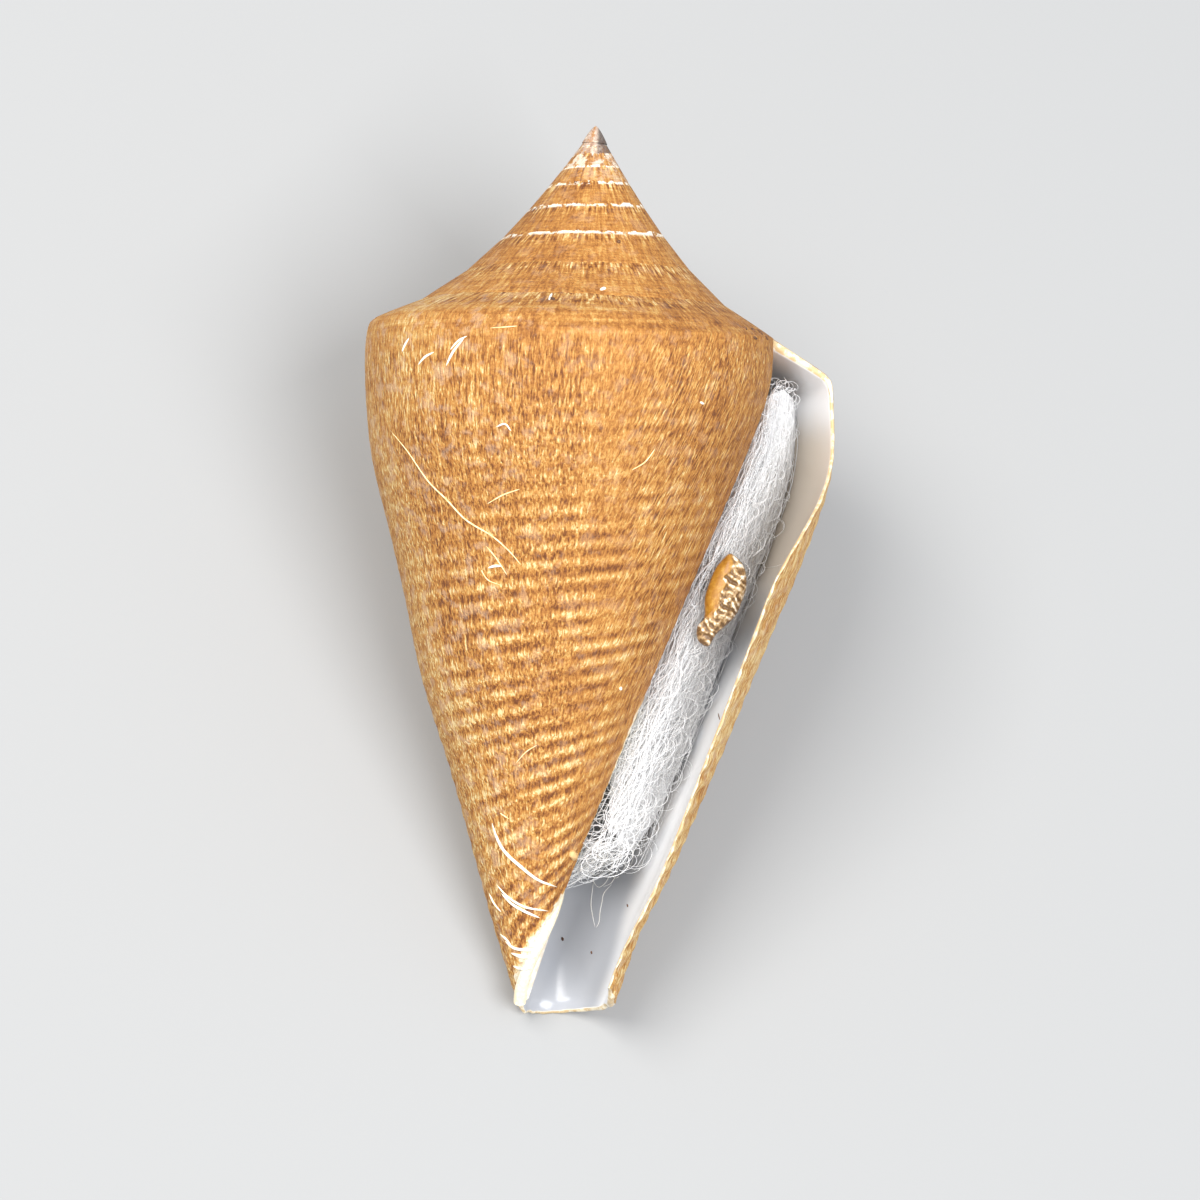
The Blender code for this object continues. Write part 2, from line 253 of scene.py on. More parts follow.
def ramp_point(turns, part, raised):
    """Points of a whorl's ramp, from the suture (0) to the shoulder (1)."""
    depth = SUTURE_DEPTH + part * RAMP_HEIGHT
    low = outline_radius(SUTURE_DEPTH)
    share = (outline_radius(depth) - low) / (outline_radius(SHOULDER_DEPTH) - low)
    share = share + (part - share) * straightness(turns)
    inner = outline_radius(SHOULDER_DEPTH) * whorl_scale(turns + 1)
    outer = (outline_radius(SHOULDER_DEPTH) + side_trim(turns, depth)) * whorl_scale(turns)
    below = shoulder_depth(turns + 1)
    height = below + (shoulder_depth(turns) - below) * part
    lifted = raised * whorl_scale(turns)
    return place(turns, inner + (outer - inner) * share + lifted * 0.4, height - lifted)


class Noise:
    """Smooth random values on a plane, the same at each run."""

    def __init__(self, seed):
        self.table = np.random.default_rng(seed).random((256, 256))

    def at(self, u, v):
        iu = np.floor(u).astype(int)
        iv = np.floor(v).astype(int)
        fu = smooth_step(u - iu)
        fv = smooth_step(v - iv)
        a = self.table[iu % 256, iv % 256]
        b = self.table[(iu + 1) % 256, iv % 256]
        c = self.table[iu % 256, (iv + 1) % 256]
        d = self.table[(iu + 1) % 256, (iv + 1) % 256]
        return (a * (1 - fu) + b * fu) * (1 - fv) + (c * (1 - fu) + d * fu) * fv - 0.5


def skin_relief(turns, depth):
    """Ribs, growth marks and grain, as a height in metres at the size of the last whorl."""
    low = smooth_step((depth - 0.026) / 0.034)
    ribs = np.cos(2 * math.pi * (depth - FIRST_RIB_DEPTH) / RIB_PITCH) * (depth > 0.0215)
    around = turns * SKIN_AROUND
    along = depth * 1000
    beads = 1 + 0.7 * Noise(3).at(around / 0.9, along / 1.55)
    height = (RIB_RELIEF_TOP + (RIB_RELIEF_BASE - RIB_RELIEF_TOP) * low) * ribs * beads
    near_lip = smooth_step(2 * (1 - turns / LIP_RELIEF_TURNS)) * smooth_step((depth - 0.022) / 0.008)
    height += near_lip * LIP_RELIEF * (0.45 * ribs * beads + 2.8 * Noise(6).at(around / 0.9, along / 0.8))
    height += GROWTH_RELIEF * Noise(4).at(around / 2.2, along / 22)
    height += GRAIN_RELIEF * Noise(5).at(around / 0.8, along / 2.0)
    return height


def canal_depth(turns):
    """Where the canal's cut end is, in the scale of the last whorl."""
    bow = CANAL_BOW * np.sin(math.pi * np.clip(turns / CANAL_TURNS, 0, 1) ** 1.1)
    bow = bow - CANAL_CORNER * smooth_step(1 - turns / CANAL_CORNER_TURNS)
    rough = CANAL_ROUGH * Noise(7).at(turns * 55, turns * 0 + 0.5)
    return (CANAL_DEPTH + bow + rough) / whorl_scale(lip_advance(turns, CANAL_DEPTH * 1.2))


def last_depth(turns):
    return np.where(turns < CANAL_TURNS, np.minimum(canal_depth(turns), TIP_DEPTH), TIP_DEPTH)


def new_mesh(name, points, faces, **values):
    """A smooth mesh, with a number at each point for every value named."""
    mesh = bpy.data.meshes.new(name)
    mesh.from_pydata(points.tolist(), [], faces)
    for key, numbers in values.items():
        layer = mesh.attributes.new(key, "FLOAT", "POINT")
        layer.data.foreach_set("value", numbers)
    mesh.shade_smooth()
    return mesh


class Skin:
    """The shell's mesh in the making: points, faces and what the material reads at each point."""

    def __init__(self):
        self.points = []
        self.faces = []
        self.values = {name: [] for name in ("skin", "turns", "depth", "cream", "part")}
        self.count = 0

    def add(self, points, **values):
        """Adds a block of points and returns their numbers, in the block's shape."""
        shape = points.shape[:-1]
        numbers = np.arange(self.count, self.count + int(np.prod(shape))).reshape(shape)
        self.count += numbers.size
        self.points.append(points.reshape(-1, 3))
        for name, store in self.values.items():
            store.append(np.broadcast_to(values.get(name, 0.0), shape).astype(float).ravel())
        return numbers

    def found(self, numbers):
        """The points that have these numbers."""
        return np.concatenate(self.points)[numbers]

    def sheet(self, numbers, flip=False):
        """Faces over a block of points: columns by rows."""
        a = numbers[:-1, :-1].ravel()
        b = numbers[1:, :-1].ravel()
        c = numbers[1:, 1:].ravel()
        d = numbers[:-1, 1:].ravel()
        self.faces.append(np.stack([a, d, c, b] if flip else [a, b, c, d], -1))

    def stitch(self, left, left_values, right, right_values):
        """Joins two runs of points with triangles, in the order of their values."""
        i = 0
        j = 0
        triangles = []
        while i < len(left) - 1 or j < len(right) - 1:
            next_left = left_values[i + 1] if i < len(left) - 1 else math.inf
            next_right = right_values[j + 1] if j < len(right) - 1 else math.inf
            if next_left <= next_right:
                triangles.append((left[i], left[i + 1], right[j]))
                i += 1
            else:
                triangles.append((left[i], right[j + 1], right[j]))
                j += 1
        self.faces.append(np.array(triangles))

    def mesh(self, name):
        points = np.concatenate(self.points)
        faces = [face for block in self.faces for face in block.tolist()]
        values = {key: np.concatenate(store) for key, store in self.values.items()}
        mesh = new_mesh(name, points, faces, **values)
        own = mesh.attributes.new("own", "FLOAT_VECTOR", "POINT")
        own.data.foreach_set("vector", (points * 1000).ravel())
        mesh.validate()
        return mesh


def add_turns(skin, turns, below):
    """A run of turns' outer surface: the ramp, then the side down to the given depths."""
    columns = turns[:, None]
    parts = np.linspace(RAMP_START, 1, RAMP_ROWS)[None, :]
    above = SUTURE_DEPTH + parts * RAMP_HEIGHT + 0 * columns
    ramp = ramp_point(columns, parts, skin_relief(columns, above))
    side = side_point(columns, below, skin_relief(columns, below))
    depths = np.concatenate([above, below], 1)
    part = (depths - SUTURE_DEPTH) / RAMP_HEIGHT
    numbers = skin.add(np.concatenate([ramp, side], 1), skin=1.0, turns=columns, depth=depths, part=part)
    skin.sheet(numbers)
    return numbers, depths


def add_body(skin):
    """The outer surface of the last turn and the start of the one before."""
    open_turns = np.linspace(0, 1, TURN_COLUMNS + 1)
    deep_turns = np.linspace(1, WALL_TURNS, WALL_COLUMNS)[1:]
    turns = np.concatenate([open_turns, deep_turns])
    part = np.linspace(0, 1, SIDE_ROWS)[None, 1:]
    end = last_depth(turns)[:, None]
    return add_turns(skin, turns, SHOULDER_DEPTH + part * (end - SHOULDER_DEPTH))


def add_spire(skin):
    """The ramps of the turns before, each with a strip of side that goes under the next ramp."""
    low = np.linspace(WALL_TURNS, 3, 340)
    turns = np.concatenate([low, np.linspace(3, 5, 260)[1:], np.linspace(5, SPIRE_TURNS, 260)[1:]])
    strip = np.linspace(0, SPIRE_SIDE_DEPTH, SPIRE_SIDE_ROWS + 1)[None, 1:]
    add_turns(skin, turns, SHOULDER_DEPTH + strip + 0 * turns[:, None])
    add_tip(skin, turns[-1])


def add_tip(skin, turns):
    """The first whorl, a small blunt point at the top of the spire."""
    radius = SHOULDER_RADIUS * whorl_scale(turns) * TIP_CAP_WIDTH
    height = shoulder_depth(turns) * TIP_CAP_HEIGHT
    around = np.linspace(0, 2 * math.pi, 33)[:, None]
    up = np.linspace(0, 1, 10)[None, :]
    wide = radius * (1 - up) ** TIP_CAP_POINT
    cap = np.stack([wide * np.cos(around), -height * (1 - up) + 0 * around, wide * np.sin(around)], -1)
    skin.sheet(skin.add(cap, skin=1.0, turns=turns, depth=SUTURE_DEPTH, part=0.5), flip=True)


def inner_point(turns, depth):
    """Points of the hollow's surface, a wall's thickness inside the outer one."""
    grown = lip_advance(turns, depth)
    scale = whorl_scale(grown)
    thickness = wall_thickness(turns, depth)
    outline = outline_radius(depth - WALL_DOWN * thickness)
    radius = scale * (outline + side_trim(turns, depth) - WALL_IN * thickness)
    height = scale * depth + spire_lift(grown)
    suture = outline_radius(SHOULDER_DEPTH) * whorl_scale(grown + 1)
    shoulder = outline_radius(SHOULDER_DEPTH) * scale
    share = np.clip((radius - suture) / (shoulder - suture), 0, 1)
    roof = shoulder_depth(grown + 1) + (shoulder_depth(grown) - shoulder_depth(grown + 1)) * share
    height = height + straightness(grown) * np.maximum(roof + thickness - height, 0)
    return place(grown, radius, height)


def inner_depths(turns):
    start = SUTURE_DEPTH + 1.5 * wall_thickness(turns, SUTURE_DEPTH)
    part = np.linspace(0, 1, INNER_ROWS)[None, :] ** 1.15
    end = last_depth(turns)
    return start[:, None] + part * (end - start)[:, None]


def add_inside(skin, body, body_depths):
    """The hollow's surface, the rounded edge of the lip and the canal's rim."""
    near = np.linspace(0, CANAL_TURNS, TURN_COLUMNS // 2 + 1)
    far = np.linspace(CANAL_TURNS, HOLLOW_TURNS, HOLLOW_COLUMNS)[1:]
    turns = np.concatenate([near, far])
    depths = inner_depths(turns)
    numbers = skin.add(inner_point(turns[:, None], depths), turns=turns[:, None], depth=depths)
    skin.sheet(numbers, flip=True)
    add_lip(skin, body, body_depths[0], numbers[0], depths[0])
    add_rim(skin, body, numbers)
    return numbers


def edge_rows(outer, inside, bulge):
    """Points that lead round an edge, in one row for each part of the way."""
    return [outer + (inside - outer) * part + bulge * math.sin(math.pi * part) for part in EDGE_PARTS]


def add_lip(skin, body, depths, inner, inner_run):
    """The lip's round edge, from the outer surface to the inner one."""
    outer = skin.found(body[0])
    inside = inner_point(np.zeros_like(depths), np.maximum(depths, inner_run[0]))
    ahead = place(np.full_like(depths, -0.0009), 1.0, 0.0)
    forward = ahead - place(0 * depths, 1.0, 0.0)
    forward /= np.linalg.norm(forward, axis=-1)[:, None]
    rows = np.stack(edge_rows(outer, inside, forward * LIP_THICKNESS * 0.5))
    numbers = skin.add(rows, cream=1.0, depth=depths[None, :])
    skin.sheet(np.concatenate([body[:1], numbers]), flip=True)
    skin.stitch(numbers[-1], depths, inner, inner_run)


def add_rim(skin, body, inner):
    """The canal's rim, a round edge between the outer and inner surfaces."""
    columns = TURN_COLUMNS // 2 + 1
    outer_row = body[:columns, -1]
    inner_row = inner[:columns, -1]
    outer = skin.found(outer_row)
    inside = skin.found(inner_row)
    width = np.linalg.norm(inside - outer, axis=-1)[:, None]
    rows = np.stack(edge_rows(outer, inside, np.array([0.0, -0.4, 0.0]) * width), 1)
    numbers = skin.add(rows, cream=1.0, depth=TIP_DEPTH)
    skin.sheet(np.concatenate([outer_row[:, None], numbers, inner_row[:, None]], 1))


def tip_curve(turns):
    """The lower edge of the whorl's side, where it turns into the pillar."""
    scale = whorl_scale(turns)
    return place(turns, scale * TIP_RADIUS, scale * TIP_DEPTH + spire_lift(turns))


def add_roll(skin):
    """The cream roll along the pillar's edge."""
    turns = np.linspace(CANAL_TURNS - 0.02, CANAL_TURNS + 1.1, BEAD_COLUMNS)
    centre = tip_curve(turns)
    tangent = np.gradient(centre, axis=0)
    tangent /= np.linalg.norm(tangent, axis=-1)[:, None]
    across = np.cross(tangent, place(turns, 1.0, 0.0))
    across /= np.linalg.norm(across, axis=-1)[:, None]
    outward = np.cross(across, tangent)
    around = np.linspace(0, 2 * math.pi, BEAD_POINTS + 1)[None, :, None]
    middle = centre - outward * BEAD_RADIUS * 0.9
    ring = outward[:, None, :] * np.cos(around) + across[:, None, :] * np.sin(around)
    radius = BEAD_RADIUS * np.minimum(1, whorl_scale(turns) / 0.8)
    roll = middle[:, None, :] + ring * radius[:, None, None]
    skin.sheet(skin.add(roll, cream=1.0, depth=TIP_DEPTH, turns=turns[:, None]))


def add_span(skin, one, other, rows, cream):
    """A plain face between two runs of points."""
    parts = np.linspace(0, 1, rows)[None, :, None]
    points = one[:, None, :] + (other - one)[:, None, :] * parts
    skin.sheet(skin.add(points, cream=cream, depth=TIP_DEPTH))


def add_pillar(skin, inner):
    """The pillar's roll, its end and its face in the hollow."""
    add_roll(skin)
    loop = tip_curve(np.linspace(CANAL_TURNS, CANAL_TURNS + 1, 60))
    add_span(skin, loop, skin.found(inner[TURN_COLUMNS // 2, -1])[None, :], 6, 0.6)
    deep = np.linspace(CANAL_TURNS, HOLLOW_TURNS, 40)
    add_span(skin, tip_curve(deep + 1), inner_point(deep, np.full_like(deep, TIP_DEPTH)), 5, 0.4)


def make_shell():
    skin = Skin()
    body, body_depths = add_body(skin)
    add_spire(skin)
    inner = add_inside(skin, body, body_depths)
    add_pillar(skin, inner)
    return new_piece("shell_surface", skin.mesh("shell_surface"), shell_material())


def new_piece(name, mesh, material):
    mesh.materials.append(material)
    obj = bpy.data.objects.new(name, mesh)
    bpy.context.scene.collection.objects.link(obj)
    return obj


def shell_to_row():
    """The matrix from the shell's own frame to the row frame: its tip is the solid's farthest point."""
    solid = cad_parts["shell"].data.vertices
    tip = max((v.co for v in solid), key=lambda point: point.y)
    turn = Matrix.Rotation(REST_PITCH, 4, "X") @ Matrix.Rotation(REST_ROLL, 4, "Y")
    return Matrix.Translation(tip) @ turn


def lay_down(mesh):
    """Presses what would dip below the ground up to it."""
    points = np.zeros(len(mesh.vertices) * 3)
    mesh.vertices.foreach_get("co", points)
    points[2::3] = np.maximum(points[2::3], 0)
    mesh.vertices.foreach_set("co", points)


class Graph:
    """A material's nodes, built by short calls that each return an output socket."""

    def __init__(self, name, roughness):
        self.material = bpy.data.materials.new(name)
        self.material.use_nodes = True
        self.nodes = self.material.node_tree.nodes
        self.links = self.material.node_tree.links
        self.shader = self.nodes["Principled BSDF"]
        self.shader.inputs["Roughness"].default_value = roughness

    def feed(self, socket, value):
        if isinstance(value, bpy.types.NodeSocket):
            self.links.new(value, socket)
        else:
            socket.default_value = value

    def node(self, kind, inputs):
        """A new node, with these inputs fed."""
        node = self.nodes.new("ShaderNode" + kind)
        for key, value in inputs.items():
            self.feed(node.inputs[key], value)
        return node

    def attribute(self, name, output="Fac"):
        node = self.node("Attribute", {})
        node.attribute_name = name
        return node.outputs[output]

    def object_spot(self):
        return self.node("TexCoord", {}).outputs["Object"]

    def math(self, operation, a, b=0.0):
        node = self.node("Math", {0: a, 1: b})
        node.operation = operation
        return node.outputs[0]

    def plus(self, first, *others):
        for other in others:
            first = self.math("ADD", first, other)
        return first

    def minus(self, a, b):
        return self.math("SUBTRACT", a, b)

    def times(self, first, *others):
        for other in others:
            first = self.math("MULTIPLY", first, other)
        return first

    def swing(self, value, weight, middle=0.5):
        """How far a value is from its middle, weighted."""
        return self.times(self.minus(value, middle), weight)

    def toward(self, a, b, share):
        """A value on the way from a to b."""
        return self.plus(a, self.times(self.minus(b, a), share))

    def away(self, value, middle):
        return self.math("ABSOLUTE", self.minus(value, middle))

    def split(self, vector):
        return self.node("SeparateXYZ", {0: vector}).outputs

    def join(self, x, y, z=0.0):
        return self.node("CombineXYZ", {0: x, 1: y, 2: z}).outputs[0]

    def stretch(self, vector, factors):
        node = self.node("VectorMath", {0: vector, 1: factors})
        node.operation = "MULTIPLY"
        return node.outputs[0]

    def noise(self, vector, scale=1.0, detail=2.0, roughness=0.5, distortion=0.0):
        inputs = {"Vector": vector, "Scale": scale, "Detail": detail, "Roughness": roughness}
        return self.node("TexNoise", {**inputs, "Distortion": distortion}).outputs["Fac"]

    def spread(self, value, low, high, to_low=0.0, to_high=1.0):
        """Maps low..high to a new range, smoothly and clamped."""
        inputs = {"Value": value, "From Min": low, "From Max": high, "To Min": to_low, "To Max": to_high}
        node = self.node("MapRange", inputs)
        node.interpolation_type = "SMOOTHSTEP"
        return node.outputs["Result"]

    def where(self, weight, *ranges):
        """A weight, times a smooth step over each range given as a value, its low end and its high end."""
        return self.times(*(self.spread(*limits) for limits in ranges), weight)

    def colours(self, value, stops):
        node = self.nodes.new("ShaderNodeValToRGB")
        ramp = node.color_ramp
        while len(ramp.elements) < len(stops):
            ramp.elements.new(0.5)
        for element, (place_at, color) in zip(ramp.elements, stops):
            element.position = place_at
            element.color = (*color, 1)
        self.feed(node.inputs[0], value)
        return node.outputs["Color"]

    def mix(self, factor, a, b):
        a, b = (color if isinstance(color, bpy.types.NodeSocket) else (*color, 1) for color in (a, b))
        node = self.node("Mix", {0: factor})
        node.data_type = "RGBA"
        self.feed(node.inputs[6], a)
        self.feed(node.inputs[7], b)
        return node.outputs[2]

    def wave(self, value, period, start=0.0):
        """A cosine from 0 to 1, with its crest at start."""
        turned = self.swing(value, 2 * math.pi / period, start)
        return self.plus(self.times(self.math("COSINE", turned), 0.5), 0.5)

    def paint(self, color):
        self.feed(self.shader.inputs["Base Color"], color)

    def bump(self, height, distance, strength):
        node = self.node("Bump", {"Height": height, "Distance": distance, "Strength": strength})
        self.links.new(node.outputs["Normal"], self.shader.inputs["Normal"])


DARK_SKIN = (0.140, 0.039, 0.005)
BROWN_SKIN = (0.294, 0.106, 0.014)
GOLD_SKIN = (0.448, 0.192, 0.035)
PALE_SKIN = (0.572, 0.325, 0.092)
STRAW = (0.730, 0.560, 0.270)
CREAM = (0.86, 0.78, 0.60)
CHALK = (0.93, 0.88, 0.74)
MAUVE = (0.40, 0.27, 0.21)
BURNT = (0.05, 0.04, 0.04)
PINK_SKIN = (0.56, 0.38, 0.25)
# Beige used inside the hollow as painted shade
BEIGE_PAINTED_SHADE = (0.68, 0.59, 0.48)
LIP_TAN = (0.60, 0.40, 0.17)
NACRE = (0.70, 0.72, 0.75)
# White used inside the hollow for painted light and a painted reflection
NACRE_PAINTED_LIGHT = (0.92, 0.92, 0.92)
NACRE_WARM = (0.75, 0.72, 0.69)
# Grey used low inside the hollow as painted shade
NACRE_PAINTED_SHADE = (0.385, 0.395, 0.42)
SKIN_STOPS = [(0.0, DARK_SKIN), (0.28, BROWN_SKIN), (0.54, GOLD_SKIN), (0.82, PALE_SKIN), (1.0, STRAW)]

# The skin's pattern: lamellae a millimetre, how light it is, and where its marks are, in turns
LAMELLAE = 6.4
LAMELLA_RISE = 1.12
LAMELLA_LEAN = 0.33
MEAN_GROWTH = 0.31
SKIN_MEAN = 0.46
MIDDLE_TURNS = 0.73
STREAK_TURNS = 0.625
FRAY_TURNS = 0.938


def lean_noise(graph, x, y, z, lean):
    """Fine wavy lamellae along the axis, leaning to the lip's side as they rise."""
    across = graph.plus(graph.times(x, LAMELLAE), graph.times(y, -LAMELLAE * lean))
    spot = graph.join(across, graph.times(y, LAMELLA_RISE), graph.times(z, LAMELLAE))
    return graph.noise(spot, distortion=0.5)


def lamella_pattern(graph, own):
    """Upright lamellae at the left, leaning ones at the right."""
    x, y, z = graph.split(own)
    share = graph.where(1.0, (x, -1.0, 7.0), (z, -2.0, 4.0))
    return graph.toward(lean_noise(graph, x, y, z, 0.0), lean_noise(graph, x, y, z, LAMELLA_LEAN), share)


def ramp_lamellae(graph, turns, part):
    """Fine short lamellae that cross the spire's ramps."""
    shrink = graph.math("POWER", math.e, graph.times(turns, -MEAN_GROWTH))
    length = graph.times(shrink, -2 * math.pi * SHOULDER_RADIUS * 1000 / MEAN_GROWTH)
    along = graph.plus(graph.times(part, shrink, 5.5), graph.times(turns, 0.7))
    return graph.noise(graph.join(graph.times(length, 3.6), along), distortion=0.5)


def skin_noise(graph, around, depth, across, down, detail):
    """Noise on the unrolled skin, with its own pitch round the shell and down it."""
    return graph.noise(graph.join(graph.times(around, across), graph.times(depth, down)), 1.0, detail, 0.6)


def rib_light(graph, own, turns, depth):
    """The pale ribs, strongest low down and in the middle of the front, and patchy."""
    ribs = graph.wave(depth, RIB_PITCH * 1000, FIRST_RIB_DEPTH * 1000)
    low = graph.spread(depth, 24.0, 54.0, 0.25, 1.0)
    patchy = graph.spread(graph.noise(own, 0.3), 0.38, 0.58, 0.25, 1.0)
    middle = graph.spread(graph.away(turns, MIDDLE_TURNS), 0.17, 0.07, 0.55, 1.35)
    by_lip = graph.spread(turns, 0.05, 0.12, 0.5, 1.0)
    return graph.times(graph.swing(ribs, low, 0.42), patchy, middle, by_lip)


def dark_streaks(graph, around, turns, depth):
    """Thin dark lines down the left of the front."""
    beside = graph.spread(graph.away(turns, STREAK_TURNS), 0.055, 0.02)
    lines = skin_noise(graph, around, depth, 1.7, 0.06, 3.0)
    return graph.times(beside, graph.spread(depth, 24.0, 29.0), graph.minus(graph.times(lines, 1.5), 0.80))


def skin_tone(graph, own, turns, depth, part, lamellae, grain):
    """How light the brown skin is at each point, from 0 to 1: lamellae, ribs, streaks and mottling."""
    around = graph.times(turns, SKIN_AROUND)
    on_ramp = graph.spread(part, 1.35, 0.75)
    lamellae = graph.toward(lamellae, ramp_lamellae(graph, turns, part), on_ramp)
    contrast = graph.toward(1.0, graph.spread(part, 0.48, 0.14, 0.50, 1.30), on_ramp)
    return graph.plus(
        SKIN_MEAN,
        graph.swing(lamellae, graph.times(contrast, 2.1)),
        graph.swing(grain, 0.7),
        graph.swing(skin_noise(graph, around, depth, 0.45, 0.035, 4.0), 0.6),
        graph.swing(graph.noise(own, 0.13, 3.0, 0.55), 0.5),
        graph.swing(skin_noise(graph, around, depth, 0.10, 2.6, 3.0), graph.times(on_ramp, 0.75)),
        graph.times(rib_light(graph, own, turns, depth), 0.52),
        dark_streaks(graph, around, turns, depth),
        graph.spread(turns, 0.07, 0.04, 0.0, 0.15),
        graph.spread(turns, 0.70, 0.56, 0.0, 0.15),
    )


def add_sutures(graph, skin, turns, part, own, grain):
    """Chalky chipped lines along the upper sutures, and the worn, darker point of the spire."""
    chips = graph.noise(own, 1.7, 3.0, 0.65)
    near = graph.plus(part, graph.times(chips, 0.16))
    left = graph.where(0.85, (near, 0.21, 0.13), (turns, 2.35, 2.5), (chips, 0.43, 0.52))
    skin = graph.mix(left, skin, CHALK)
    skin = graph.mix(graph.where(0.55, (turns, 5.4, 6.6), (chips, 0.44, 0.56)), skin, CHALK)
    skin = graph.mix(graph.where(0.75, (turns, 6.5, 7.3), (grain, 0.40, 0.56)), skin, MAUVE)
    right = graph.split(own)[0]
    return graph.mix(graph.where(0.85, (turns, 7.2, 8.2), (right, 0.05, 0.35)), skin, BURNT)


def smooth_inside(graph, own, turns, depth):
    """Bluish white, whitened at the top as painted light and in a stripe by the lip as a painted
    reflection, beige above that stripe and grey low down, both painted shade.
    """
    clouds = graph.spread(graph.noise(own, 0.16, 3.0, 0.6), 0.4, 0.6)
    # Painted light: the top of the hollow is whitened where it would lie in shade
    top = graph.spread(depth, 23.0, 19.0)
    # Painted shade: grey low down in the hollow, where shade falls
    base = graph.where(0.92, (depth, 50.0, 58.0), (turns, 0.065, 0.14))
    # Painted reflection: a white stripe low down by the lip, where the lamp's gloss would show
    stripe = graph.where(0.9, (turns, 0.13, 0.08), (depth, 33.0, 40.0))
    # Painted shade: beige by the lip, between the whitened top and the low stripe
    painted_warm_shade = graph.where(0.9, (turns, 0.17, 0.10), (depth, 38.0, 31.0), (depth, 19.0, 23.0))
    inside = graph.mix(clouds, NACRE, NACRE_WARM)
    for share, color in ((top, NACRE_PAINTED_LIGHT), (base, NACRE_PAINTED_SHADE), (stripe, NACRE_PAINTED_LIGHT), (painted_warm_shade, BEIGE_PAINTED_SHADE)):
        inside = graph.mix(share, inside, color)
    return inside


def cream_edge(graph, own, turns, grain):
    """The cream of the edges, with tan blotches at the lip."""
    cream = graph.mix(graph.spread(grain, 0.35, 0.65, 0.0, 0.45), CREAM, STRAW)
    blotches = graph.noise(own, 1.6, 3.0, 0.6)
    return graph.mix(graph.where(0.8, (turns, 0.10, 0.05), (blotches, 0.40, 0.56)), cream, LIP_TAN)


def fraying(graph, own, turns, depth):
    """Where the skin is frayed off: low at the right of the front, and along the bottom."""
    worn = graph.plus(graph.swing(turns, 28.0, FRAY_TURNS), graph.noise(own, 1.3, 3.0, 0.6))
    fray = graph.where(1.0, (worn, 0.45, 0.62), (depth, 54.5, 57.5))
    ragged = graph.plus(depth, graph.times(graph.noise(own, 0.9, 3.0, 0.65), 3.4))
    return graph.math("MAXIMUM", fray, graph.spread(ragged, 74.3, 74.9))


def shell_material():
    """Brown fibrous skin outside, cream edges, and a smooth bluish-white inside with painted light and
    shade.
    """
    graph = Graph("shell_surface", 0.55)
    own = graph.attribute("own", "Vector")
    turns = graph.attribute("turns")
    depth = graph.times(graph.attribute("depth"), 1000.0)
    part = graph.attribute("part")
    lamellae = lamella_pattern(graph, own)
    grain = graph.noise(own, 4.5, 3.0, 0.6)
    tone = skin_tone(graph, own, turns, depth, part, lamellae, grain)
    pink = graph.spread(graph.noise(own, 0.9, 3.0, 0.6), 0.50, 0.66)
    pink = graph.times(pink, graph.spread(turns, 0.78, 0.62, 0.16, 0.42))
    skin = graph.mix(pink, graph.colours(tone, SKIN_STOPS), PINK_SKIN)
    skin = add_sutures(graph, skin, turns, part, own, grain)
    cream = cream_edge(graph, own, turns, grain)
    white = graph.mix(graph.attribute("cream"), smooth_inside(graph, own, turns, depth), cream)
    edge = graph.spread(graph.plus(graph.attribute("skin"), graph.times(grain, 0.4)), 0.6, 0.8)
    frayed = graph.times(fraying(graph, own, turns, depth), edge)
    graph.paint(graph.mix(frayed, graph.mix(edge, white, skin), cream))
    graph.feed(graph.shader.inputs["Roughness"], graph.spread(edge, 0.0, 1.0, 0.22, 0.72))
    graph.bump(graph.times(graph.plus(lamellae, graph.times(grain, 0.5)), edge), 0.00020, 0.9)
    return graph.material


# The cotton wool, in the shell's own frame
COTTON_TOP = 0.0184
COTTON_BOTTOM = 0.0540
COTTON_WALL_TURNS = math.radians(-3) / (2 * math.pi)
COTTON_LIP_TURNS = math.radians(19) / (2 * math.pi)
COTTON_BULGE = 0.0017
FIBRE_RADIUS = 0.000021
FLOWING_FIBRES = 700
CURLY_FIBRES = 640
LOOSE_LOOPS = 60
CURL_LENGTH = 0.0352
# Grey of the wad under the fibres, as painted shade between them
WAD_SHADE_GREY = (0.80, 0.805, 0.815)


def wall_radius_at(turns, height):
    """The radius of the turn before, at a true depth below the tip."""
    scale = whorl_scale(turns + 1)
    return scale * outline_radius((height - spire_lift(turns + 1)) / scale)


def hollow_radius_at(turns, height):
    """The inner radius of the last turn, at a true depth below the tip."""
    scale = whorl_scale(turns)
    return scale * (outline_radius(height / scale) - WALL_THICKNESS)


def cotton_front(along, across, lift):
    """Points on the cotton's front: 0 to 1 along the mouth, and 0 to 1 across it from wall to lip."""
    height = COTTON_TOP + (COTTON_BOTTOM - COTTON_TOP) * along
    back = place(COTTON_WALL_TURNS, wall_radius_at(COTTON_WALL_TURNS, height), height)
    front = place(COTTON_LIP_TURNS, hollow_radius_at(COTTON_LIP_TURNS, height), height)
    point = back + (front - back) * across[..., None]
    arch = np.sin(math.pi * np.clip(1 - across, 0, 1) ** 1.5)
    point[..., 2] += COTTON_BULGE * arch + lift
    return point


def ring_quads(near, far, axis, flip=False):
    """Faces between two blocks of point numbers that close round one axis."""
    corners = [near, np.roll(near, -1, axis), np.roll(far, -1, axis), far]
    if flip:
        corners = [corners[k] for k in (0, 3, 2, 1)]
    return np.stack(corners, -1).reshape(-1, 4)


